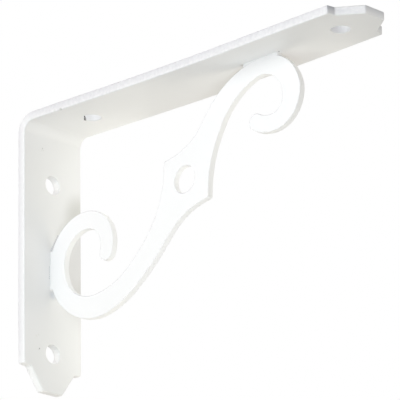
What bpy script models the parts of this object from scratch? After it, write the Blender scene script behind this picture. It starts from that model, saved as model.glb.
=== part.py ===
"""A small steel shelf bracket: a flat strap bent into an angle, with an S scroll braced inside it.

The strap's leg lies on the wall and its arm carries the shelf. +X points out from the wall, +Z up,
and Y runs along the wall. The origin is on the leg's back face, midway between its two screw holes.
"""
import math

import bmesh
import bpy
from mathutils import Matrix, Vector

MM = 0.001

# Strap, measured from the outer corner of its bend
STRAP_WIDTH = 22 * MM
STRAP_THICKNESS = 2.5 * MM
ARM_LENGTH = 125 * MM
LEG_LENGTH = 80 * MM
INNER_BEND_RADIUS = 3 * MM
OUTER_BEND_RADIUS = INNER_BEND_RADIUS + STRAP_THICKNESS
BEND_STEPS = 12

# Each end steps in at a shoulder and then tapers to a blunt tip
SHOULDER_TO_TIP = 7 * MM
SHOULDER_DEPTH = 2.55 * MM
SHOULDER_SLANT = 0.4 * MM
TIP_WIDTH = 7.4 * MM

# Screw holes on the strap's centre line, measured from the outer corner
SCREW_HOLE_RADIUS = 2.7 * MM
NEAR_SCREW = 18.6 * MM
LEG_SCREW_PITCH = 50 * MM
ARM_SCREW_PITCH = 94.2 * MM
HOLE_SIDES = 32

# Scroll plate: its middle, the hole through it, and the way its upper stem points
SCROLL_THICKNESS = 2 * MM
SCROLL_CENTRE = Vector((55.9 * MM, 0, -30.4 * MM))
SCROLL_HOLE_RADIUS = 3.9 * MM
SCROLL_HOLE_OFFSET = Vector((-0.45 * MM, 0.2 * MM))
STEM_HEADING = math.radians(49)
POINT_HALF_WIDTH = 11 * MM
STEM_HALF_WIDTH = 3.5 * MM
POINT_REACH = 20 * MM
POINT_POWER = 2.5

# The scroll's centre line, from its middle out: each run's length in mm, its clockwise turn in
# degrees, and the plate's half width in mm where the run ends
UPPER_RUNS = ((17.5, -8, 3.7), (20.75, 47, 2.5), (16.75, 92, 3.3), (11.75, 94, 2.5), (6.75, 35, 2.4))
LOWER_RUNS = ((15.25, -3, 3.7), (17.25, 17, 3.3), (12.25, 27, 3.5), (13.5, 49, 2.8), (13.25, 55, 3.0),
              (18, 91, 2.6), (14.75, 103, 2.4))
LONGEST_STEP = 1.5 * MM
WIDEST_TURN = math.radians(6)
TIP_STEPS = 10

# Touching pieces stay this far apart, and painted edges are eased by this much
CLEARANCE = 0.3 * MM
EDGE_EASE = 0.3 * MM
SHARPEST_SMOOTH_EDGE = math.radians(35)
CUTTER_MARGIN = 4 * MM

UPRIGHT = Matrix.Rotation(math.pi / 2, 4, "X")
DOWN_THE_LEG = Matrix.Rotation(math.pi / 2, 4, "Y")
CORNER_HEIGHT = NEAR_SCREW + LEG_SCREW_PITCH / 2


def clear_scene():
    for old in list(bpy.data.objects):
        bpy.data.objects.remove(old, do_unlink=True)


def new_collection(name):
    collection = bpy.data.collections.new(name)
    bpy.context.scene.collection.children.link(collection)
    return collection


def powder_coat(name, colour):
    material = bpy.data.materials.new(name)
    material.use_nodes = True
    shader = material.node_tree.nodes["Principled BSDF"]
    shader.inputs["Base Color"].default_value = (*colour, 1)
    shader.inputs["Roughness"].default_value = 0.45
    shader.inputs["Metallic"].default_value = 0
    return material


def arc(centre, radius, start, turn, steps):
    """Points of an arc about centre, from the angle start through turn, both in radians."""
    angles = [start + turn * step / steps for step in range(steps + 1)]
    return [Vector(centre) + radius * Vector((math.cos(a), math.sin(a))) for a in angles]


def plate(name, outlines, thickness, place, collection):
    """A flat plate, centred on its own plane, whose outlines are closed loops of 2D points."""
    curve = bpy.data.curves.new(name, "CURVE")
    curve.dimensions = "2D"
    curve.fill_mode = "BOTH"
    curve.extrude = thickness / 2
    for outline in outlines:
        spline = curve.splines.new("POLY")
        spline.points.add(len(outline) - 1)
        for point, (x, y) in zip(spline.points, outline):
            point.co = (x, y, 0, 1)
        spline.use_cyclic_u = True
    drawn = bpy.data.objects.new(name + "_outline", curve)
    collection.objects.link(drawn)
    drawn.matrix_world = place
    bpy.context.view_layer.update()

    evaluated = drawn.evaluated_get(bpy.context.evaluated_depsgraph_get())
    mesh = bpy.data.meshes.new_from_object(evaluated)
    mesh.name = name
    shell = bmesh.new()
    shell.from_mesh(mesh)
    bmesh.ops.remove_doubles(shell, verts=shell.verts, dist=0.001 * MM)
    shell.to_mesh(mesh)
    shell.free()
    solid = bpy.data.objects.new(name, mesh)
    solid.matrix_world = drawn.matrix_world
    collection.objects.link(solid)
    bpy.data.objects.remove(drawn, do_unlink=True)
    return solid


def drill(name, place, radius, depth, collection):
    """A round cutter whose axis is the Z axis of place."""
    bpy.ops.mesh.primitive_cylinder_add(vertices=HOLE_SIDES, radius=radius, depth=depth)
    cutter = bpy.context.object
    cutter.name = name
    cutter.matrix_world = place
    for owner in list(cutter.users_collection):
        owner.objects.unlink(cutter)
    collection.objects.link(cutter)
    return cutter


def block(name, low, high, collection):
    """A box cutter between two opposite corners."""
    bpy.ops.mesh.primitive_cube_add(size=1)
    cutter = bpy.context.object
    cutter.name = name
    size = Vector(high) - Vector(low)
    middle = (Vector(high) + Vector(low)) / 2
    cutter.matrix_world = Matrix.Translation(middle) @ Matrix.Diagonal((*size, 1))
    for owner in list(cutter.users_collection):
        owner.objects.unlink(cutter)
    collection.objects.link(cutter)
    return cutter


def cut(piece, cutter):
    cutter.hide_render = True
    cutter.display_type = "WIRE"
    boolean = piece.modifiers.new("cut_" + cutter.name, "BOOLEAN")
    boolean.operation = "DIFFERENCE"
    boolean.solver = "EXACT"
    boolean.object = cutter


def finish_piece(piece, material, corner):
    """Eases the sharp edges, shades the rounds smooth and hangs the piece from the corner."""
    ease = piece.modifiers.new("eased_edges", "BEVEL")
    ease.width = EDGE_EASE
    ease.segments = 1
    ease.limit_method = "ANGLE"
    ease.angle_limit = SHARPEST_SMOOTH_EDGE
    piece.data.materials.clear()
    piece.data.materials.append(material)
    piece.data.shade_smooth()
    piece.data.set_sharp_from_angle(angle=SHARPEST_SMOOTH_EDGE)
    place = piece.matrix_world.copy()
    piece.parent = corner
    piece.matrix_parent_inverse = corner.matrix_world.inverted()
    piece.matrix_world = place


def bent_profile():
    """The strap's side view: x out from the wall, y up, with the outer corner at zero."""
    bend = (OUTER_BEND_RADIUS, -OUTER_BEND_RADIUS)
    outside = arc(bend, OUTER_BEND_RADIUS, math.pi, -math.pi / 2, BEND_STEPS)
    inside = arc(bend, INNER_BEND_RADIUS, math.pi / 2, math.pi / 2, BEND_STEPS)
    arm_end = [(ARM_LENGTH, 0), (ARM_LENGTH, -STRAP_THICKNESS)]
    leg_end = [(STRAP_THICKNESS, -LEG_LENGTH), (0, -LEG_LENGTH)]
    return outside + arm_end + inside + leg_end


def end_offcuts(strap_length):
    """What is cut off both sides of an end: x along the strap from its corner, y across it."""
    shoulder = strap_length - SHOULDER_TO_TIP
    outer = STRAP_WIDTH / 2 + CUTTER_MARGIN
    beyond = strap_length + CUTTER_MARGIN
    side = [
        (shoulder, outer),
        (shoulder, STRAP_WIDTH / 2),
        (shoulder + SHOULDER_SLANT, STRAP_WIDTH / 2 - SHOULDER_DEPTH),
        (strap_length, TIP_WIDTH / 2),
        (beyond, TIP_WIDTH / 2),
        (beyond, outer),
    ]
    return [side, [(x, -y) for x, y in side]]


def run_samples(runs, start, heading):
    """Points along a centre line of joined runs, each with its heading and half width."""
    travelled = 0
    base = STEM_HALF_WIDTH
    here = Vector(start)
    samples = []
    for length_mm, turn_degrees, end_width_mm in runs:
        length = length_mm * MM
        turn = -math.radians(turn_degrees)
        steps = math.ceil(max(length / LONGEST_STEP, abs(turn) / WIDEST_TURN))
        for step in range(steps):
            share = step / steps
            width = base + (end_width_mm * MM - base) * share
            samples.append((here.copy(), heading, width + point_flare(travelled)))
            middle_heading = heading + turn / steps / 2
            here += length / steps * Vector((math.cos(middle_heading), math.sin(middle_heading)))
            heading += turn / steps
            travelled += length / steps
        base = end_width_mm * MM
    samples.append((here.copy(), heading, base))
    return samples


def point_flare(travelled):
    """How much wider than its stem the plate is, so far from the points at its middle."""
    left = max(0, 1 - travelled / POINT_REACH)
    return (POINT_HALF_WIDTH - STEM_HALF_WIDTH) * left ** POINT_POWER


def half_scroll(runs, heading):
    """One arm of the scroll: out along its left edge, round the tip, and back along the right."""
    samples = run_samples(runs, (0, 0), heading)
    left = []
    right = []
    for point, way, width in samples:
        across = width * Vector((-math.sin(way), math.cos(way)))
        left.append(point + across)
        right.append(point - across)
    end, end_heading, end_width = samples[-1]
    tip = arc(end, end_width, end_heading + math.pi / 2, -math.pi, TIP_STEPS)[1:-1]
    return left + tip + right[:0:-1]


def make_strap(collection, cutters, corner):
    corner_place = corner.matrix_world
    strap = plate("angle_strap", [bent_profile()], STRAP_WIDTH, corner_place @ UPRIGHT, collection)

    arm_middle = corner_place @ Matrix.Translation((0, 0, -STRAP_THICKNESS / 2))
    leg_middle = corner_place @ Matrix.Translation((STRAP_THICKNESS / 2, 0, 0)) @ DOWN_THE_LEG
    through = STRAP_THICKNESS + CUTTER_MARGIN
    legs = (
        ("arm", arm_middle, ARM_LENGTH, ARM_SCREW_PITCH),
        ("leg", leg_middle, LEG_LENGTH, LEG_SCREW_PITCH),
    )
    for leg_name, middle, length, pitch in legs:
        cut(strap, plate(leg_name + "_end_offcuts", end_offcuts(length), through, middle, cutters))
        for number, along in enumerate((NEAR_SCREW, NEAR_SCREW + pitch), start=1):
            place = middle @ Matrix.Translation((along, 0, 0))
            hole_name = f"{leg_name}_screw_hole_{number}"
            cut(strap, drill(hole_name, place, SCREW_HOLE_RADIUS, through, cutters))
    finish_piece(strap, powder_coat("strap_white_coat", (0.86, 0.87, 0.88)), corner)


def make_scroll(collection, cutters, corner):
    outline = half_scroll(UPPER_RUNS, STEM_HEADING) + half_scroll(LOWER_RUNS, STEM_HEADING + math.pi)
    hole = arc(SCROLL_HOLE_OFFSET, SCROLL_HOLE_RADIUS, 0, 2 * math.pi, HOLE_SIDES)[:-1]
    place = corner.matrix_world @ Matrix.Translation(SCROLL_CENTRE) @ UPRIGHT
    scroll = plate("scroll_brace", [outline, hole], SCROLL_THICKNESS, place, collection)

    # The curls are ground flat where they meet the strap
    corner_point = corner.matrix_world.translation
    flat = STRAP_THICKNESS + CLEARANCE
    side = SCROLL_THICKNESS / 2 + CUTTER_MARGIN
    leg_low = corner_point + Vector((0, -side, -LEG_LENGTH))
    leg_high = corner_point + Vector((flat, side, 0))
    arm_low = corner_point + Vector((0, -side, -flat))
    arm_high = corner_point + Vector((ARM_LENGTH, side, CUTTER_MARGIN))
    cut(scroll, block("leg_grinding", leg_low, leg_high, cutters))
    cut(scroll, block("arm_grinding", arm_low, arm_high, cutters))
    finish_piece(scroll, powder_coat("scroll_white_coat", (0.88, 0.89, 0.90)), corner)


def main():
    clear_scene()
    pieces = new_collection("shelf_bracket")
    cutters = new_collection("shelf_bracket_cutters")
    corner = bpy.data.objects.new("bracket_corner", None)
    corner.location = (0, 0, CORNER_HEIGHT)
    pieces.objects.link(corner)
    bpy.context.view_layer.update()
    make_strap(pieces, cutters, corner)
    make_scroll(pieces, cutters, corner)


main()
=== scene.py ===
import math

import bmesh
import bpy
from mathutils import Matrix, Vector


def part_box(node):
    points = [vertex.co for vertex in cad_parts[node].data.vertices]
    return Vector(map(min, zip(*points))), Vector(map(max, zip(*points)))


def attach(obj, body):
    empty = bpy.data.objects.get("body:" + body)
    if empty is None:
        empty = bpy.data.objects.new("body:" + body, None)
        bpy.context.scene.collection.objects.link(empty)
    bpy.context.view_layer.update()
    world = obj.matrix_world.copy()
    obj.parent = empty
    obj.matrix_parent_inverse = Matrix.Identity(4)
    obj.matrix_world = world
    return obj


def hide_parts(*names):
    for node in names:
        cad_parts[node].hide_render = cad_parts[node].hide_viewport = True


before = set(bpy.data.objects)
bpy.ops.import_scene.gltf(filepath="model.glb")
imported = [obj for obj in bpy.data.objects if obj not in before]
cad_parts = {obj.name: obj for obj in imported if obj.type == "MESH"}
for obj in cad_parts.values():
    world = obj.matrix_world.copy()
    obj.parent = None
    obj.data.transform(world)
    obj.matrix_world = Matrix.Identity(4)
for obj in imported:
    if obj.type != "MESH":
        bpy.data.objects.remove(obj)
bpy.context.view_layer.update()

MM = 0.001

# Sizes read from the frame. The corner is the outside of the strap's bend, and the strap is a little
# wider between its ends than at them
strap_low, strap_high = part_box("angle_strap")
scroll_low, scroll_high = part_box("scroll_brace")
CORNER = Vector((strap_low.x, 0, strap_high.z))
ARM_LENGTH = strap_high.x - strap_low.x
LEG_LENGTH = strap_high.z - strap_low.z
STRAP_END_WIDTH = strap_high.y - strap_low.y
BODY_SWELL = 0.4 * MM
STRAP_WIDTH = STRAP_END_WIDTH + BODY_SWELL
SCROLL_THICKNESS = scroll_high.y - scroll_low.y

# Strap
STRAP_THICKNESS = 2.5 * MM
INNER_BEND_RADIUS = 3 * MM
OUTER_BEND_RADIUS = INNER_BEND_RADIUS + STRAP_THICKNESS
BEND_STEPS = 28
SHOULDER_TO_TIP = 7 * MM
NARROWING = 15 * MM
SHOULDER_DEPTH = 2.55 * MM
SHOULDER_SLANT = 0.4 * MM
TIP_WIDTH = 7.4 * MM
STRAP_EDGE_ROUNDING = 0.45 * MM
HOLE_EDGE_ROUNDING = 0.18 * MM
RISE_AT_BEND = 0.36 * MM
RISE_AT_TIP = 0.20 * MM
ARM_SAG = 0.72 * MM
SAG_POWER = 1.5
ARM_STEPS = 16

# Where the arm's shoulders and its tip are cut square across, with a little room inside the cut
CUT_ROOM = 0.1 * MM
TIP_FACE = ARM_LENGTH - CUT_ROOM
SHOULDER_FACE = ARM_LENGTH - SHOULDER_TO_TIP + SHOULDER_SLANT / 2
SHOULDER_ROOT = STRAP_END_WIDTH / 2 - SHOULDER_DEPTH + CUT_ROOM

# Screw holes, along each leg of the strap from the corner
SCREW_HOLE_RADIUS = 2.7 * MM
NEAR_SCREW = 18.6 * MM
LEG_SCREW_PITCH = 50 * MM
ARM_SCREW_PITCH = 94.2 * MM
HOLE_SIDES = 64
CUTTER_DEPTH = 8 * MM

# Scroll: its middle from the corner, the hole through it, and the way its upper stem points
SCROLL_MIDDLE = Vector((55.9 * MM, 0, -30.4 * MM))
SCROLL_HOLE_RADIUS = 3.9 * MM
SCROLL_HOLE_OFFSET = Vector((-0.45 * MM, 0.2 * MM, 0))
STEM_HEADING = math.radians(49)
POINT_HALF_WIDTH = 11 * MM
STEM_HALF_WIDTH = 3.5 * MM
POINT_REACH = 20 * MM
POINT_POWER = 2.5
POINT_ROUNDING = 0.3 * MM
POINT_CORNER_RADIUS = 1.3 * MM
SCROLL_EDGE_ROUNDING = 0.6 * MM

# Runs of the scroll's centre line from its middle out: length in mm, clockwise turn in degrees,
# and the band's half width in mm where the run ends
UPPER_RUNS = ((17.5, -8, 3.7), (20.75, 47, 2.5), (16.75, 92, 3.3), (11.75, 94, 2.5), (6.75, 35, 2.4))
LOWER_RUNS = ((15.25, -3, 3.7), (17.25, 17, 3.3), (12.25, 27, 3.5), (13.5, 49, 2.8), (13.25, 55, 3.0),
              (18, 91, 2.6), (14.75, 103, 2.4))
# How finely the runs are stepped. The steps crowd towards the points, where the band flares
LONGEST_STEP = 0.8 * MM
WIDEST_TURN = math.radians(3.5)
POINT_CROWDING = 1.6
TIP_STEPS = 9

# Welds: where each contact starts and ends along the strap from the corner, then the fillets beside the
# scroll and the root under its edge
LEG_WELD = (39.1 * MM, 49.6 * MM)
ARM_WELD = (78.6 * MM, 90.4 * MM)
FILLET_RADIUS = 0.3 * MM
FILLET_INSET = 0.15 * MM
WELD_STEPS = 28
WELD_ARC_STEPS = 6
WELD_RIPPLE = 0.12
WELD_RIPPLE_PITCH = 2.3 * MM
WELD_FULLNESS = 2.2
THINNEST_WELD = 0.05
ROOT_HEIGHT = 0.9 * MM
ROOT_INSET = 0.01 * MM
ROOT_OVERRUN = 0.35 * MM
ROOT_ROUNDING = 0.12 * MM
ROOT_SEGMENTS = 2

# Meshes: how close points are merged, and how sharp an edge is rounded or left out as flat
STRAP_MERGE = 0.001 * MM
BAND_MERGE = 0.002 * MM
SHARP = math.radians(30)
POINTED = math.radians(60)
FLAT = math.radians(0.02)
ROUNDING_SEGMENTS = 4
# An edge that spans this share of the scroll's thickness stands across it
STANDING = 0.9
# The shading of a vertex follows the largest face round it
BY_FACE_AREA = 100

# Camera, fitted to the photograph
CAMERA_HEADING = math.radians(43.56)
CAMERA_RISE = math.radians(18.72)
CAMERA_ROLL = math.radians(0.95)
CAMERA_DISTANCE = 929.5 * MM
CAMERA_TARGET = CORNER + Vector((60.31 * MM, 0, -37.20 * MM))
CAMERA_LENS = 307.5

# Powder coat
COAT_ROUGHNESS = 0.42
PEEL_SCALE = 500
GRAIN_SCALE = 3000
PEEL_STRENGTH = 0.15
PEEL_DEPTH = 0.05 * MM
GRAIN_SHARE = 0.25
CLOUD_SCALE = 45
CLOUD_SPREAD = 0.2
MOTTLE_SCALE = 900
MOTTLE_SPREAD = 0.18
RAGGED_SCALE = 2500
STRAP_COAT_THIN = (0.83, 0.83, 0.83, 1)
STRAP_COAT_THICK = (0.855, 0.855, 0.855, 1)
SCROLL_COAT_THIN = (0.855, 0.855, 0.862, 1)
SCROLL_COAT_THICK = (0.87, 0.87, 0.878, 1)
# Painted light on the scroll's sides
SIDE_PAINTED_LIGHT = (0.96, 0.96, 0.96, 1)
# Painted shade on the strap's faces towards the arm's tip: along one side, and by the tip to a lesser
# share all over
TIP_SIDE_SHADE = (0.785, 0.785, 0.785, 1)
# Painted shade on rounded edges that face up and towards the wall, away from the light: that way, how fast
# the shade grows as an edge turns that way, and its colour
LEAST_LIT = Vector((-1, 0, 1)).normalized()
SHADE_GROWTH = 4
EDGE_SHADE_COLOUR = (0.56, 0.56, 0.58, 1)
# The walls of the screw holes, painted lighter with light that falls into them, and the tapered edges
# beside each tip. On the leg the same painted light lies on its end and tapered faces
LIT_LEG_WALL = (0.98, 0.98, 0.98, 1)
LIT_ARM_WALL = (0.96, 0.96, 0.98, 1)
LIT_FAR_WALL = (0.85, 0.85, 0.87, 1)
TAPER_WALL = (0.90, 0.895, 0.91, 1)
# The arm's end faces, where the coat is thin, painted with shade that is deepest near the outer face,
# where the rounding
# turns away from the light: near the outer face and near the inner face. The shoulder on the far side has
# the tip's colours
SHOULDER_OUTER = (0.44, 0.45, 0.49, 1)
SHOULDER_INNER = (0.71, 0.71, 0.73, 1)
TIP_OUTER = (0.66, 0.67, 0.70, 1)
TIP_INNER = (0.88, 0.88, 0.90, 1)
# Painted shade on the line where the strap's cut edge turns into its outer face, whose rounding turns away
# from the light
OUTER_LINE_SHADE = (0.70, 0.69, 0.73, 1)
# The strap's cut edges: on the arm and on the leg, near the outer face and near the inner face. They are
# painted darker near the outer face and lighter near the inner face, as shade and light on an edge that is
# not quite flat
ARM_EDGE_OUTER = (0.75, 0.745, 0.765, 1)
ARM_EDGE_INNER = (0.84, 0.835, 0.85, 1)
LEG_EDGE_OUTER = (0.785, 0.78, 0.80, 1)
LEG_EDGE_INNER = (0.865, 0.865, 0.875, 1)
ARM_MOTTLE = (0.90, 0.90, 0.91, 1)
LEG_MOTTLE = (0.97, 0.97, 0.97, 1)
FULL_COAT = (1, 1, 1, 1)

# Where the coat and the light and shade painted on it change: each mask goes from 0 to 1 between the two.
# On the strap, along it from the wall, sideways from its middle, and down from its outer face
ON_ARM = (3 * MM, 12 * MM)
NEAR_TIP = (60 * MM, 100 * MM)
TOWARDS_TIP = (58 * MM, 84 * MM)
BY_TIP = (92 * MM, 110 * MM)
BY_TIP_SHARE = 0.6
ONE_SIDE = (-2 * MM, -9 * MM)
FAR_SIDE = (0, 1 * MM)
IN_HOLE = (3.6 * MM, 3.0 * MM)
CUT_EDGE = (STRAP_WIDTH / 2 - STRAP_EDGE_ROUNDING, STRAP_WIDTH / 2 - 0.1 * MM)
END_FACE = (TIP_FACE - 0.15 * MM, TIP_FACE)
BESIDE_NECK = (SHOULDER_ROOT, SHOULDER_ROOT + 0.15 * MM)
OFF_OUTER_FACE = (0.2 * MM, 0.45 * MM)
OFF_INNER_FACE = (STRAP_THICKNESS - 0.1 * MM, STRAP_THICKNESS - 0.4 * MM)
AT_OUTER_LINE = (0.4 * MM, 0.15 * MM)
INWARD_ON_EDGE = (0.5 * MM, 2.0 * MM)
INWARD_ON_END = (0.2 * MM, 1.8 * MM)
# On the scroll, in from its broad faces
OFF_BROAD_FACE = (0.02 * MM, 0.25 * MM)
BY_BROAD_FACE = (0.25 * MM, 0.15 * MM)

# Marks in the coat, and spots of painted shade: centre, radius, softness and raggedness in mm, then the
# colour that shows
DUST_AND_SHADE = (0.62, 0.62, 0.61)
FAINT = (0.76, 0.76, 0.75)
PALE = (0.80, 0.80, 0.79)
SHADED = (0.70, 0.72, 0.76)
GAP_SHADE = (0.64, 0.64, 0.69)
CURL_SHADOW = (0.70, 0.70, 0.685)
PINPRICK = (0.46, 0.49, 0.54)
GREY = (0.42, 0.42, 0.42)
BARE_STEEL = (0.05, 0.05, 0.045)
COAT_MARKS = (
    ((2.5, -3.98, 35.2), 0.12, 0.18, 0.15, DUST_AND_SHADE),
    ((2.5, -4.3, 34.6), 0.1, 0.2, 0.15, FAINT),
    ((2.5, -3.6, 34.7), 0.1, 0.2, 0.15, FAINT),
    ((2.5, -5.2, -24.36), 0.12, 0.18, 0.15, GREY),
    ((2.5, -5.6, -24.7), 0.1, 0.2, 0.15, FAINT),
    ((2.5, -6.4, -20.9), 0.15, 0.3, 0.3, PALE),
    ((2.5, -5.6, -20.4), 0.15, 0.3, 0.3, PALE),
    ((2.5, 0.0, -7.8), 0.3, 1.6, 0.3, SHADED),
    # Painted shade where the scroll's edge leaves the arm, at the start of the weld
    ((77.5, -0.65, 40.75), 0.1, 0.6, 0.2, DUST_AND_SHADE),
    # Painted shade in the narrow gap at the far end of the weld on the arm
    ((91.2, -0.7, 40.87), 0.15, 0.25, 0.1, GREY),
    # Painted shadow that the scroll's lower curl casts on the leg
    ((2.5, 10.5, 18.5), 1.6, 6.0, 0.3, CURL_SHADOW),
    ((17.33, -11.1, 41.27), 0.3, 0.4, 0.2, DUST_AND_SHADE),
    ((14.97, -11.2, 41.6), 0.15, 0.4, 0.2, FAINT),
    ((15.9, -0.15, 41.8), 0.35, 0.3, 0.3, GREY),
    ((15.9, -0.32, 42.25), 0.22, 0.12, 0.15, BARE_STEEL),
    ((15.85, -0.2, 41.5), 0.24, 0.12, 0.15, BARE_STEEL),
    ((15.7, 0.3, 41.35), 0.15, 0.15, 0.15, GREY),
)
# Rows of small marks: the first, the step to the next, how many, then as for single marks. The pinpricks
# run beside the weld on the leg, and a row of painted shade runs up from it in the narrow gap beside the
# curl
MARK_ROWS = (
    ((2.5, -1.36, 0.3), (0.0, 0.0, -0.56), 7, 0.08, 0.1, 0.15, PINPRICK),
    ((2.5, -0.6, 5.4), (0.0, 0.32, 0.6), 9, 0.12, 0.36, 0.1, GAP_SHADE),
)

# Floor: how far below it lies and its side, in metres, then its patches, their colours and how bright
# the camera sees them
FLOOR_DROP = 1.5
FLOOR_SIDE = 12
FLOOR_SCALE = 1.2
FLOOR_COLOURS = ((0.83, 0.83, 0.825, 1), (0.87, 0.87, 0.87, 1))
FLOOR_IN_VIEW = 0.78


def apply_modifiers(obj):
    """Replaces the object's mesh by the one that its modifiers make."""
    made = obj.evaluated_get(bpy.context.evaluated_depsgraph_get())
    mesh = bpy.data.meshes.new_from_object(made)
    obj.modifiers.clear()
    obj.data = mesh


def to_object(bm, name):
    mesh = bpy.data.meshes.new(name)
    bmesh.ops.recalc_face_normals(bm, faces=bm.faces[:])
    bm.to_mesh(mesh)
    bm.free()
    obj = bpy.data.objects.new(name, mesh)
    bpy.context.scene.collection.objects.link(obj)
    return obj


def drill(obj, place, radius):
    """Cuts a round hole whose axis is the Z axis of place."""
    bm = bmesh.new()
    bmesh.ops.create_cone(bm, cap_ends=True, segments=HOLE_SIDES, radius1=radius, radius2=radius,
                          depth=CUTTER_DEPTH, matrix=place)
    cutter = to_object(bm, "drill")
    cut = obj.modifiers.new("hole", "BOOLEAN")
    cut.operation = "DIFFERENCE"
    cut.solver = "EXACT"
    cut.object = cutter
    bpy.context.view_layer.update()
    apply_modifiers(obj)
    bpy.data.objects.remove(cutter, do_unlink=True)


def round_edges(obj, radius, sharpness):
    """Rounds every edge that is sharper than an angle, and marks the rounded faces that face away from the
    light, for painted shade.
    """
    bm = bmesh.new()
    bm.from_mesh(obj.data)
    bmesh.ops.remove_doubles(bm, verts=bm.verts[:], dist=STRAP_MERGE)
    sharp = [e for e in bm.edges if len(e.link_faces) == 2 and e.calc_face_angle() > sharpness]
    edge_shade = bm.faces.layers.float.new("edge_shade")
    made = bmesh.ops.bevel(bm, geom=sharp, offset=radius, segments=ROUNDING_SEGMENTS, profile=0.5,
                           affect="EDGES", clamp_overlap=True, material=-1)
    bmesh.ops.recalc_face_normals(bm, faces=bm.faces[:])
    for face in made["faces"]:
        face.normal_update()
        face[edge_shade] = min(1, max(0, SHADE_GROWTH * face.normal.dot(LEAST_LIT)))
    bm.to_mesh(obj.data)
    bm.free()


def shade_smooth(obj):
    """Shades rounded edges smooth and keeps flat faces flat."""
    for polygon in obj.data.polygons:
        polygon.use_smooth = True
    even = obj.modifiers.new("flat faces stay flat", "WEIGHTED_NORMAL")
    even.weight = BY_FACE_AREA
    even.keep_sharp = False


def whole(face):
    return [face, *face.edges, *face.verts]


def only_face(parts):
    return next(part for part in parts if isinstance(part, bmesh.types.BMFace))


def only_verts(parts):
    return [part for part in parts if isinstance(part, bmesh.types.BMVert)]


def lengthen(bm, face, along, width, new_width):
    """Extrudes the strap's end face along a vector and changes its width."""
    made = bmesh.ops.extrude_face_region(bm, geom=whole(face))["geom"]
    widen = Matrix.Translation(along) @ Matrix.Diagonal((1, new_width / width, 1, 1))
    bmesh.ops.transform(bm, matrix=widen, verts=only_verts(made))
    return only_face(made)


def arm_height(along):
    """How far the arm lies above a level line: the pull of the weld leaves it hollow by a hair."""
    share = along / ARM_LENGTH
    line = RISE_AT_BEND + (RISE_AT_TIP - RISE_AT_BEND) * share
    return line - ARM_SAG * math.sin(math.pi * share) ** SAG_POWER


def body_width(to_shoulder):
    """The strap narrows a little towards each shoulder."""
    return STRAP_END_WIDTH + BODY_SWELL * min(1, to_shoulder / NARROWING)


def make_strap():
    """The strap's section starts at the leg's tip, runs up, turns the bend and runs out."""
    up = Vector((0, 0, 1))
    out = Vector((1, 0, 0))
    taper = SHOULDER_TO_TIP - SHOULDER_SLANT
    neck_width = STRAP_END_WIDTH - 2 * SHOULDER_DEPTH
    bm = bmesh.new()
    start = Matrix.Translation(CORNER + Vector((STRAP_THICKNESS / 2, 0, -LEG_LENGTH)))
    section = Matrix.Diagonal((STRAP_THICKNESS, TIP_WIDTH, 1, 1))
    bmesh.ops.create_grid(bm, x_segments=1, y_segments=1, size=0.5, matrix=start @ section)
    bm.faces.ensure_lookup_table()
    end = bm.faces[0]
    end = lengthen(bm, end, up * taper, TIP_WIDTH, neck_width)
    end = lengthen(bm, end, up * SHOULDER_SLANT, neck_width, STRAP_END_WIDTH)
    raised = arm_height(OUTER_BEND_RADIUS)
    straight = LEG_LENGTH - SHOULDER_TO_TIP - OUTER_BEND_RADIUS + raised
    end = lengthen(bm, end, up * NARROWING, STRAP_END_WIDTH, STRAP_WIDTH)
    end = lengthen(bm, end, up * (straight - NARROWING), STRAP_WIDTH, STRAP_WIDTH)
    bend = CORNER + Vector((OUTER_BEND_RADIUS, 0, raised - OUTER_BEND_RADIUS))
    turned = bmesh.ops.spin(bm, geom=whole(end), cent=bend, axis=(0, 1, 0), angle=math.pi / 2,
                            steps=BEND_STEPS, use_duplicate=False)["geom_last"]
    end = only_face(turned)
    stride = (ARM_LENGTH - SHOULDER_TO_TIP - OUTER_BEND_RADIUS) / ARM_STEPS
    for step in range(ARM_STEPS):
        along = OUTER_BEND_RADIUS + step * stride
        climb = arm_height(along + stride) - arm_height(along)
        to_shoulder = ARM_LENGTH - SHOULDER_TO_TIP - along
        end = lengthen(bm, end, out * stride + up * climb, body_width(to_shoulder),
                       body_width(to_shoulder - stride))
    slope = out + up * (climb / stride)
    end = lengthen(bm, end, slope * SHOULDER_SLANT, STRAP_END_WIDTH, neck_width)
    lengthen(bm, end, slope * taper, neck_width, TIP_WIDTH)
    bmesh.ops.recalc_face_normals(bm, faces=bm.faces[:])
    bmesh.ops.dissolve_limit(bm, angle_limit=FLAT, verts=bm.verts[:], edges=bm.edges[:])
    strap = to_object(bm, "bent_strap")
    round_edges(strap, STRAP_EDGE_ROUNDING, SHARP)

    sideways = Matrix.Rotation(math.pi / 2, 4, "Y")
    for along in (NEAR_SCREW, NEAR_SCREW + LEG_SCREW_PITCH):
        drill(strap, Matrix.Translation(CORNER - up * along) @ sideways, SCREW_HOLE_RADIUS)
    for along in (NEAR_SCREW, NEAR_SCREW + ARM_SCREW_PITCH):
        drill(strap, Matrix.Translation(CORNER + out * along), SCREW_HOLE_RADIUS)
    round_edges(strap, HOLE_EDGE_ROUNDING, POINTED)
    shade_smooth(strap)
    return strap


def point_flare(travelled):
    """How much wider than its stem the band is, so far from the points at its middle."""
    softened = math.hypot(travelled, POINT_ROUNDING)
    left = max(0, 1 - softened / POINT_REACH)
    return (POINT_HALF_WIDTH - STEM_HALF_WIDTH) * left ** POINT_POWER


def cross_edge(place, heading, half_width):
    """The matrix that lays a unit edge across the band."""
    turn = Matrix.Rotation(heading, 4, "Z")
    return Matrix.Translation((*place, 0)) @ turn @ Matrix.Diagonal((1, half_width, 1, 1))


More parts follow.
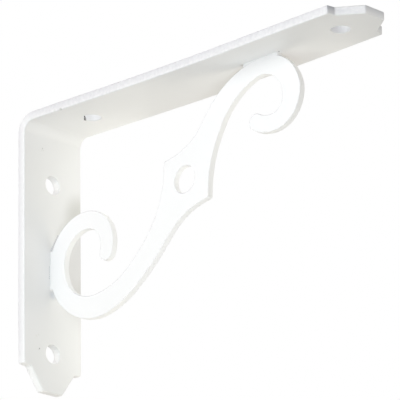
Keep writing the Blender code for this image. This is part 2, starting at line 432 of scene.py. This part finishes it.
def band_edges(runs, heading):
    """Cross edges along one half of the scroll, from its middle out and round its tip."""
    here = Vector((0, 0))
    travelled = 0
    base = STEM_HALF_WIDTH
    edges = []
    for number, (length_mm, turn_degrees, end_width_mm) in enumerate(runs):
        length = length_mm * MM
        turn = -math.radians(turn_degrees)
        steps = math.ceil(max(length / LONGEST_STEP, abs(turn) / WIDEST_TURN))
        crowding = POINT_CROWDING if number == 0 else 1
        shares = [(step / steps) ** crowding for step in range(steps + 1)]
        for share, next_share in zip(shares, shares[1:]):
            width = base + (end_width_mm * MM - base) * share
            edges.append(cross_edge(here, heading, width + point_flare(travelled)))
            part = next_share - share
            middle_heading = heading + turn * part / 2
            here = here + length * part * Vector((math.cos(middle_heading), math.sin(middle_heading)))
            heading += turn * part
            travelled += length * part
        base = end_width_mm * MM
    ahead = Vector((math.cos(heading), math.sin(heading)))
    for step in range(TIP_STEPS + 1):
        angle = math.pi / 2 * step / TIP_STEPS
        edges.append(cross_edge(here + base * math.sin(angle) * ahead, heading, base * math.cos(angle)))
    return edges


def lay_band(bm, edge, places):
    """Draws the band out from an edge, one extruded edge for each following place."""
    for last, following in zip(places, places[1:]):
        made = bmesh.ops.extrude_edge_only(bm, edges=[edge])["geom"]
        verts = only_verts(made)
        bmesh.ops.transform(bm, matrix=following @ last.inverted(), verts=verts)
        edge = next(part for part in made
                    if isinstance(part, bmesh.types.BMEdge) and set(part.verts) == set(verts))


def make_scroll():
    """The scroll is drawn flat, trimmed where it meets the strap, thickened and stood up."""
    bm = bmesh.new()
    upper = band_edges(UPPER_RUNS, STEM_HEADING)
    lower = band_edges(LOWER_RUNS, STEM_HEADING + math.pi)
    first = bm.edges.new([bm.verts.new(upper[0] @ Vector((0, side, 0))) for side in (1, -1)])
    lay_band(bm, first, upper)
    lay_band(bm, first, lower)
    bmesh.ops.remove_doubles(bm, verts=bm.verts[:], dist=BAND_MERGE)

    leg_face = STRAP_THICKNESS - SCROLL_MIDDLE.x
    arm_face = -STRAP_THICKNESS - SCROLL_MIDDLE.z
    for point, away in (((leg_face, 0, 0), (-1, 0, 0)), ((0, arm_face, 0), (0, 1, 0))):
        everything = bm.verts[:] + bm.edges[:] + bm.faces[:]
        bmesh.ops.bisect_plane(bm, geom=everything, plane_co=point, plane_no=away, clear_outer=True)
    sheet = bmesh.ops.dissolve_faces(bm, faces=bm.faces[:], use_verts=False)["region"]
    raised = only_verts(bmesh.ops.extrude_face_region(bm, geom=sheet)["geom"])
    bmesh.ops.translate(bm, vec=(0, 0, SCROLL_THICKNESS), verts=raised)
    bmesh.ops.translate(bm, vec=(0, 0, -SCROLL_THICKNESS / 2), verts=bm.verts[:])
    bm.normal_update()
    standing = [e for e in bm.edges
                if abs(e.verts[0].co.z - e.verts[1].co.z) > STANDING * SCROLL_THICKNESS]
    points = [e for e in standing if e.calc_face_angle() > POINTED]
    bmesh.ops.bevel(bm, geom=points, offset=POINT_CORNER_RADIUS, segments=ROUNDING_SEGMENTS, profile=0.5,
                    affect="EDGES", clamp_overlap=True, material=-1)
    stood_up = Matrix.Translation(CORNER + SCROLL_MIDDLE) @ Matrix.Rotation(math.pi / 2, 4, "X")
    bmesh.ops.transform(bm, matrix=stood_up, verts=bm.verts[:])
    scroll = to_object(bm, "pierced_scroll")
    drill(scroll, stood_up @ Matrix.Translation(SCROLL_HOLE_OFFSET), SCROLL_HOLE_RADIUS)
    round_edges(scroll, SCROLL_EDGE_ROUNDING, SHARP)
    shade_smooth(scroll)
    return scroll


def make_weld(name, start, along, length, out):
    """A small hollow fillet on both sides of the scroll, and the root that fills the gap between them.

    start is on the strap's face in the scroll's middle plane, along runs the way of the contact, and
    out points away from the strap's face.
    """
    bm = bmesh.new()
    for side in (-1, 1):
        across = Vector((0, side, 0))
        corner = start + across * (SCROLL_THICKNESS / 2 - FILLET_INSET) - out * FILLET_INSET
        place = Matrix(((*across, 0), (*out, 0), (*along, 0), (0, 0, 0, 1))).transposed()
        place.translation = corner
        section = [Vector((0, 0, 0))]
        for step in range(WELD_ARC_STEPS + 1):
            angle = math.pi / 2 * step / WELD_ARC_STEPS
            section.append(Vector((1 - math.sin(angle), 1 - math.cos(angle), 0)) * FILLET_RADIUS)
        face = bm.faces.new([bm.verts.new(place @ point) for point in section])
        grown = 1
        for step in range(1, WELD_STEPS + 1):
            made = bmesh.ops.extrude_face_region(bm, geom=whole(face))["geom"]
            verts = only_verts(made)
            face = only_face(made)
            travelled = length * step / WELD_STEPS
            middle = corner + along * travelled
            size = weld_size(travelled, length)
            bmesh.ops.translate(bm, vec=along * (length / WELD_STEPS), verts=verts)
            bmesh.ops.scale(bm, vec=(size / grown,) * 3, space=Matrix.Translation(-middle), verts=verts)
            grown = size
    root_width = Vector((0, SCROLL_THICKNESS - 2 * ROOT_INSET, 0))
    reach = along * (length + 2 * ROOT_OVERRUN) + out * 2 * ROOT_HEIGHT + root_width
    grow = Matrix.Diagonal((*(abs(value) for value in reach), 1))
    half_way = Matrix.Translation(start + along * length / 2)
    root = bmesh.ops.create_cube(bm, size=1, matrix=half_way @ grow)["verts"]
    edges = list(dict.fromkeys(edge for vert in root for edge in vert.link_edges))
    bmesh.ops.bevel(bm, geom=edges, offset=ROOT_ROUNDING, segments=ROOT_SEGMENTS, profile=0.5,
                    affect="EDGES", material=-1)
    weld = to_object(bm, name)
    for polygon in weld.data.polygons:
        polygon.use_smooth = True
    return weld


def weld_size(travelled, length):
    """The fillet swells a little with each pass of the torch and dies away at both ends."""
    share = min(1, max(0, travelled / length))
    ends = math.sqrt(min(1, WELD_FULLNESS * math.sin(math.pi * share)))
    ripple = 1 + WELD_RIPPLE * math.sin(2 * math.pi * travelled / WELD_RIPPLE_PITCH)
    return max(THINNEST_WELD, ends * ripple)


def make_welds():
    down = Vector((0, 0, -1))
    out = Vector((1, 0, 0))
    hang = STRAP_THICKNESS - arm_height(sum(ARM_WELD) / 2)
    leg_start = CORNER + out * STRAP_THICKNESS + down * LEG_WELD[0]
    arm_start = CORNER + out * ARM_WELD[0] + down * hang
    return [
        make_weld("weld_at_leg", leg_start, down, LEG_WELD[1] - LEG_WELD[0], out),
        make_weld("weld_at_arm", arm_start, out, ARM_WELD[1] - ARM_WELD[0], down),
    ]


def new_group(name, inputs, outputs):
    """A shader node group with named sockets. Each input is a name, a kind and its usual value."""
    group = bpy.data.node_groups.new(name, "ShaderNodeTree")
    for label, kind, value in inputs:
        socket = group.interface.new_socket(name=label, in_out="INPUT", socket_type=kind)
        if value is not None:
            socket.default_value = value
    for label, kind in outputs:
        group.interface.new_socket(name=label, in_out="OUTPUT", socket_type=kind)
    return group, group.nodes.new("NodeGroupInput"), group.nodes.new("NodeGroupOutput")


def add_node(tree, kind, values=None, **settings):
    """A node with its settings, and values for its inputs, each a number, a colour or a socket to link."""
    node = tree.nodes.new(kind)
    for setting, value in settings.items():
        setattr(node, setting, value)
    for key, value in (values or {}).items():
        if isinstance(value, bpy.types.NodeSocket):
            tree.links.new(value, node.inputs[key])
        else:
            node.inputs[key].default_value = value
    return node


def use_group(tree, group, values):
    return add_node(tree, "ShaderNodeGroup", values, node_tree=group)


def calculate(tree, way, first, *others):
    """One step of arithmetic on sockets and numbers."""
    return add_node(tree, "ShaderNodeMath", dict(enumerate((first, *others))), operation=way).outputs[0]


def blend(tree, mask, first, second, way="MIX"):
    """Goes from one colour to another as the mask goes from 0 to 1. Each is a colour or a socket."""
    mix = add_node(tree, "ShaderNodeMix", {0: mask, 6: first, 7: second}, data_type="RGBA", blend_type=way)
    return mix.outputs[2]


def ramp(tree, value, low, high):
    """A mask that goes from 0 to 1 as the value goes from low to high."""
    return add_node(tree, "ShaderNodeMapRange", {
        "Value": value, "From Min": low, "From Max": high}).outputs["Result"]


def orange_peel_group():
    """The slow ripple and the fine grain of a baked powder coat, as a height."""
    group, given, result = new_group(
        "orange_peel",
        (("Place", "NodeSocketVector", None), ("Ripple Scale", "NodeSocketFloat", PEEL_SCALE),
         ("Grain Scale", "NodeSocketFloat", GRAIN_SCALE),
         ("Grain Share", "NodeSocketFloat", GRAIN_SHARE)),
        (("Height", "NodeSocketFloat"),))
    ripple = add_node(group, "ShaderNodeTexNoise", {
        "Vector": given.outputs["Place"], "Scale": given.outputs["Ripple Scale"], "Detail": 1.0})
    grain = add_node(group, "ShaderNodeTexNoise", {
        "Vector": given.outputs["Place"], "Scale": given.outputs["Grain Scale"], "Detail": 2.0})
    height = add_node(group, "ShaderNodeMix", {
        "Factor": given.outputs["Grain Share"], "A": ripple.outputs["Fac"], "B": grain.outputs["Fac"]})
    group.links.new(height.outputs["Result"], result.inputs["Height"])
    return group


def cloud_group():
    """Slow patches between two colours, as where the coat lies thicker or thinner."""
    group, given, result = new_group(
        "coat_clouds",
        (("Place", "NodeSocketVector", None), ("Scale", "NodeSocketFloat", CLOUD_SCALE),
         ("Spread", "NodeSocketFloat", CLOUD_SPREAD), ("Thin", "NodeSocketColor", STRAP_COAT_THIN),
         ("Thick", "NodeSocketColor", STRAP_COAT_THICK)),
        (("Color", "NodeSocketColor"),))
    noise = add_node(group, "ShaderNodeTexNoise", {
        "Vector": given.outputs["Place"], "Scale": given.outputs["Scale"], "Detail": 3.0})
    low = calculate(group, "SUBTRACT", 0.5, given.outputs["Spread"])
    high = calculate(group, "ADD", 0.5, given.outputs["Spread"])
    share = ramp(group, noise.outputs["Fac"], low, high)
    colour = blend(group, share, given.outputs["Thin"], given.outputs["Thick"])
    group.links.new(colour, result.inputs["Color"])
    return group


def spot_group():
    """A soft or ragged spot round one place: 1 inside, 0 outside."""
    group, given, result = new_group(
        "coat_spot",
        (("Place", "NodeSocketVector", None), ("Centre", "NodeSocketVector", (0, 0, 0)),
         ("Radius", "NodeSocketFloat", 0.3 * MM), ("Softness", "NodeSocketFloat", 0.3 * MM),
         ("Raggedness", "NodeSocketFloat", 0.0)),
        (("Mask", "NodeSocketFloat"),))
    noise = add_node(group, "ShaderNodeTexNoise", {
        "Vector": given.outputs["Place"], "Scale": RAGGED_SCALE, "Detail": 2.0})
    centred = calculate(group, "SUBTRACT", noise.outputs["Fac"], 0.5)
    shift = calculate(group, "MULTIPLY", centred, given.outputs["Raggedness"])
    away = add_node(group, "ShaderNodeVectorMath", {
        0: given.outputs["Place"], 1: given.outputs["Centre"]}, operation="DISTANCE")
    ragged = calculate(group, "ADD", away.outputs["Value"], shift)
    edge = calculate(group, "ADD", given.outputs["Radius"], given.outputs["Softness"])
    mask = add_node(group, "ShaderNodeMapRange", {
        "Value": ragged, "From Min": edge, "From Max": given.outputs["Radius"]},
        interpolation_type="SMOOTHSTEP")
    group.links.new(mask.outputs["Result"], result.inputs["Mask"])
    return group


def build_groups():
    return {"peel": orange_peel_group(), "clouds": cloud_group(), "spot": spot_group()}


def coat_base(name, groups, thin, thick):
    """The satin white coat that every piece shares: its shader, place, colour and orange peel."""
    material = bpy.data.materials.new(name)
    material.use_nodes = True
    tree = material.node_tree
    shader = tree.nodes["Principled BSDF"]
    shader.inputs["Roughness"].default_value = COAT_ROUGHNESS
    place = add_node(tree, "ShaderNodeTexCoord").outputs["Object"]
    clouds = use_group(tree, groups["clouds"], {"Place": place, "Thin": thin, "Thick": thick})
    peel = use_group(tree, groups["peel"], {"Place": place})
    bump = add_node(tree, "ShaderNodeBump", {
        "Strength": PEEL_STRENGTH, "Distance": PEEL_DEPTH, "Height": peel.outputs["Height"]})
    tree.links.new(bump.outputs["Normal"], shader.inputs["Normal"])
    return material, tree, shader, place, clouds.outputs["Color"]


def scroll_coat(groups):
    """The sides of the scroll are painted lighter than its faces, as light that falls on them, and its
    rounded edges that face away from the light are painted with shade.
    """
    material, tree, shader, place, colour = coat_base(
        "white_coat_on_scroll", groups, SCROLL_COAT_THIN, SCROLL_COAT_THICK)
    parts = add_node(tree, "ShaderNodeSeparateXYZ", {0: place})
    across = calculate(tree, "ABSOLUTE", parts.outputs["Y"])
    inset = calculate(tree, "SUBTRACT", SCROLL_THICKNESS / 2, across)
    colour = blend(tree, ramp(tree, inset, *OFF_BROAD_FACE), colour, SIDE_PAINTED_LIGHT)
    edge_shade = add_node(tree, "ShaderNodeAttribute", attribute_name="edge_shade").outputs["Fac"]
    by_face = ramp(tree, inset, *BY_BROAD_FACE)
    colour = blend(tree, calculate(tree, "MULTIPLY", edge_shade, by_face), colour, EDGE_SHADE_COLOUR)
    tree.links.new(colour, shader.inputs["Base Color"])
    return material


def depth_in_strap(tree, along, height):
    """How deep a place is below the strap's outer face, on the leg and on the slightly hollow arm."""
    share = calculate(tree, "MULTIPLY", along, 1 / ARM_LENGTH)
    arch = calculate(tree, "SINE", calculate(tree, "MULTIPLY", share, math.pi))
    arch = calculate(tree, "POWER", arch, SAG_POWER)
    line = calculate(tree, "MULTIPLY_ADD", share, RISE_AT_TIP - RISE_AT_BEND, CORNER.z + RISE_AT_BEND)
    top = calculate(tree, "MULTIPLY_ADD", arch, -ARM_SAG, line)
    return calculate(tree, "MINIMUM", along, calculate(tree, "SUBTRACT", top, height))


def strap_coat(groups):
    """The strap's coat is mottled, with painted shade and light on its cut edges, end faces and hole
    walls, near the tip and beside the scroll, and a little bluish on its cut edges, with small marks and
    chips.
    """
    material, tree, shader, place, colour = coat_base(
        "white_coat_on_strap", groups, STRAP_COAT_THIN, STRAP_COAT_THICK)
    parts = add_node(tree, "ShaderNodeSeparateXYZ", {0: place})
    along = parts.outputs["X"]
    sideways = parts.outputs["Y"]
    across = calculate(tree, "ABSOLUTE", sideways)
    depth = depth_in_strap(tree, along, parts.outputs["Z"])
    on_arm = ramp(tree, along, *ON_ARM)
    mottle = use_group(tree, groups["clouds"], {
        "Place": place, "Scale": MOTTLE_SCALE, "Spread": MOTTLE_SPREAD,
        "Thin": blend(tree, on_arm, LEG_MOTTLE, ARM_MOTTLE), "Thick": FULL_COAT}).outputs["Color"]

    by_tip = calculate(tree, "MULTIPLY", ramp(tree, along, *BY_TIP), BY_TIP_SHARE)
    most = calculate(tree, "MAXIMUM", ramp(tree, sideways, *ONE_SIDE), by_tip)
    tip_shade = calculate(tree, "MULTIPLY", ramp(tree, along, *TOWARDS_TIP), most)
    colour = blend(tree, tip_shade, colour, TIP_SIDE_SHADE)

    off_face = ramp(tree, depth, *OFF_INNER_FACE)
    within = calculate(tree, "MULTIPLY", ramp(tree, depth, *OFF_OUTER_FACE), off_face)
    taper = blend(tree, 1.0, TAPER_WALL, mottle, "MULTIPLY")
    far_wall = blend(tree, ramp(tree, across, *IN_HOLE), taper, LIT_FAR_WALL)
    near_wall = blend(tree, on_arm, LIT_LEG_WALL, LIT_ARM_WALL)
    wall = blend(tree, ramp(tree, along, *NEAR_TIP), near_wall, far_wall)
    colour = blend(tree, within, colour, wall)

    outer = blend(tree, on_arm, LEG_EDGE_OUTER, ARM_EDGE_OUTER)
    inner = blend(tree, on_arm, LEG_EDGE_INNER, ARM_EDGE_INNER)
    edge = blend(tree, ramp(tree, depth, *INWARD_ON_EDGE), outer, inner)
    edge = blend(tree, 1.0, edge, mottle, "MULTIPLY")
    edge = blend(tree, ramp(tree, depth, *AT_OUTER_LINE), edge, OUTER_LINE_SHADE)
    colour = blend(tree, ramp(tree, across, *CUT_EDGE), colour, edge)

    end_face = ramp(tree, along, *END_FACE)
    near_shoulder = calculate(tree, "COMPARE", along, SHOULDER_FACE, SHOULDER_SLANT)
    shoulder_face = calculate(tree, "MULTIPLY", near_shoulder, ramp(tree, across, *BESIDE_NECK))
    end_cut = calculate(tree, "MAXIMUM", end_face, shoulder_face)
    deeper = ramp(tree, depth, *INWARD_ON_END)
    tip = blend(tree, deeper, TIP_OUTER, TIP_INNER)
    shoulder = blend(tree, deeper, SHOULDER_OUTER, SHOULDER_INNER)
    shoulder = blend(tree, ramp(tree, sideways, *FAR_SIDE), shoulder, tip)
    end_colour = blend(tree, end_face, shoulder, tip)
    colour = blend(tree, calculate(tree, "MULTIPLY", end_cut, off_face), colour, end_colour)

    rows = tuple((Vector(first) + number * Vector(step), *look)
                 for first, step, count, *look in MARK_ROWS for number in range(count))
    for centre, radius, softness, raggedness, shade in COAT_MARKS + rows:
        spot = use_group(tree, groups["spot"], {
            "Place": place, "Centre": [value * MM for value in centre], "Radius": radius * MM,
            "Softness": softness * MM, "Raggedness": raggedness * MM})
        colour = blend(tree, spot.outputs["Mask"], colour, (*shade, 1))
    tree.links.new(colour, shader.inputs["Base Color"])
    return material


def add_camera():
    aim = Vector((-math.sin(CAMERA_HEADING) * math.cos(CAMERA_RISE),
                  math.cos(CAMERA_HEADING) * math.cos(CAMERA_RISE), math.sin(CAMERA_RISE)))
    level = Vector((math.cos(CAMERA_HEADING), math.sin(CAMERA_HEADING), 0))
    below = aim.cross(level)
    right = math.cos(CAMERA_ROLL) * level + math.sin(CAMERA_ROLL) * below
    down = -math.sin(CAMERA_ROLL) * level + math.cos(CAMERA_ROLL) * below
    data = bpy.data.cameras.new("camera")
    data.lens = CAMERA_LENS
    camera = bpy.data.objects.new("camera", data)
    turn = Matrix((right, -down, -aim)).transposed().to_4x4()
    camera.matrix_world = Matrix.Translation(CAMERA_TARGET - CAMERA_DISTANCE * aim) @ turn
    bpy.context.scene.collection.objects.link(camera)
    bpy.context.scene.camera = camera


# Soft boxes: place and what each one faces, in mm, width and height in mm, watts, colour. One that is as
# wide as high is round
COOL = (0.86, 0.87, 1.0)
SKY = (0.6, 0.8, 1.0)
CLEAR = (0.93, 0.98, 1.0)
GREENISH = (0.9, 1.0, 0.8)
ROSY = (1.0, 0.82, 0.75)
WARM = (1.0, 0.94, 0.82)
CREAM = (1.0, 0.98, 0.88)
MIDDLE = (62, 0, 4)
SOFT_BOXES = (
    ("front", (62, -300, 4), MIDDLE, 400, 400, 0.40, CLEAR),
    ("front_high", (60, -280, 100), MIDDLE, 220, 220, 0.17, CLEAR),
    ("key", (350, -266, -218), MIDDLE, 110, 110, 0.30, COOL),
    ("key_side", (220, -381, -176), MIDDLE, 110, 110, 0.08, SKY),
    ("low_right", (120, -120, -120), MIDDLE, 120, 120, 0.049, GREENISH),
    ("left", (-150, -280, 100), MIDDLE, 220, 220, 0.118, ROSY),
    ("left_low", (-150, -280, -100), MIDDLE, 220, 220, 0.022, ROSY),
    ("back_right", (250, 180, -100), MIDDLE, 220, 220, 0.113, WARM),
    ("back_high", (250, 180, 100), MIDDLE, 220, 220, 0.034, GREENISH),
    ("back_low", (0, 60, -180), MIDDLE, 120, 120, 0.069, WARM),
    ("card_by_leg_high", (15.5, 13, 28), (15.5, 0, 28), 25, 30, 0.0013, CREAM),
    ("card_by_leg_mid", (14, 16, -1), (2.5, 8, -1), 12, 10, 0.0003, CREAM),
    ("card_by_leg_low", (15.5, 13, -24), (15.5, 0, -24), 25, 24, 0.0010, CREAM),
    ("card_by_arm", (59, 13, 20.6), (59, 0, 20.6), 62, 40, 0.0021, WARM),
    ("card_behind_curl", (100, 13, 32), (98, 5, 40.8), 20, 15, 0.00028, WARM),
    ("card_below", (65.5, 13, -29.4), (65.5, 0, -29.4), 25, 20, 0.0029, COOL),
    ("above", (62, 85, 200), (62, 0, 44), 200, 160, 0.08, CLEAR),
    ("behind", (-120, 75, 100), (0, 0, 4), 160, 120, 0.06, CLEAR),
)
AMBIENT = 0.472
ROOM_COLOUR = (1.0, 0.98, 0.95, 1)
SWEEP_COLOUR = (1, 1, 1, 1)


def add_lights():
    for name, place, target, width, height, watts, colour in SOFT_BOXES:
        data = bpy.data.lights.new(name, "AREA")
        data.shape = "RECTANGLE" if height != width else "DISK"
        data.size = width * MM
        data.size_y = height * MM
        data.energy = watts
        data.color = colour
        light = bpy.data.objects.new(name, data)
        away = Vector(place) - Vector(target)
        light.location = Vector(place) * MM
        light.rotation_euler = away.to_track_quat("Z", "Y").to_euler()
        light.visible_camera = False
        bpy.context.scene.collection.objects.link(light)


def add_room():
    """The room gives an even light, and the camera sees plain white behind the bracket."""
    world = bpy.data.worlds.new("white studio")
    bpy.context.scene.world = world
    world.use_nodes = True
    tree = world.node_tree
    room = tree.nodes["Background"]
    room.name = "room"
    room.inputs["Color"].default_value = ROOM_COLOUR
    room.inputs["Strength"].default_value = AMBIENT
    sweep = add_node(tree, "ShaderNodeBackground", {"Color": SWEEP_COLOUR})
    path = add_node(tree, "ShaderNodeLightPath")
    mix = add_node(tree, "ShaderNodeMixShader", {
        0: path.outputs["Is Camera Ray"], 1: room.outputs["Background"],
        2: sweep.outputs["Background"]})
    tree.links.new(mix.outputs["Shader"], tree.nodes["World Output"].inputs["Surface"])


def add_floor(groups):
    """A pale floor far below. The camera sees it lit as evenly as a studio's, without its shade."""
    bm = bmesh.new()
    bmesh.ops.create_grid(bm, x_segments=1, y_segments=1, size=FLOOR_SIDE / 2,
                          matrix=Matrix.Translation((0, 0, -FLOOR_DROP)))
    floor = to_object(bm, "floor")
    material = bpy.data.materials.new("pale_floor")
    material.use_nodes = True
    tree = material.node_tree
    painted = tree.nodes["Principled BSDF"]
    place = add_node(tree, "ShaderNodeTexCoord").outputs["Object"]
    clouds = use_group(tree, groups["clouds"], {
        "Place": place, "Scale": FLOOR_SCALE, "Thin": FLOOR_COLOURS[0], "Thick": FLOOR_COLOURS[1]})
    tree.links.new(clouds.outputs["Color"], painted.inputs["Base Color"])
    seen = add_node(tree, "ShaderNodeEmission", {
        "Color": clouds.outputs["Color"], "Strength": FLOOR_IN_VIEW})
    path = add_node(tree, "ShaderNodeLightPath")
    mix = add_node(tree, "ShaderNodeMixShader", {
        0: path.outputs["Is Camera Ray"], 1: painted.outputs["BSDF"], 2: seen.outputs["Emission"]})
    tree.links.new(mix.outputs["Shader"], tree.nodes["Material Output"].inputs["Surface"])
    floor.data.materials.append(material)


def main():
    bpy.context.scene.view_settings.view_transform = "Standard"
    groups = build_groups()
    strap = make_strap()
    scroll = make_scroll()
    welds = make_welds()
    on_strap = strap_coat(groups)
    on_scroll = scroll_coat(groups)
    for piece, coat in ((strap, on_strap), (scroll, on_scroll), *((weld, on_scroll) for weld in welds)):
        piece.data.materials.clear()
        piece.data.materials.append(coat)
        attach(piece, "root")
    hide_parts("angle_strap")
    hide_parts("scroll_brace")
    add_camera()
    add_lights()
    add_room()
    add_floor(groups)


main()
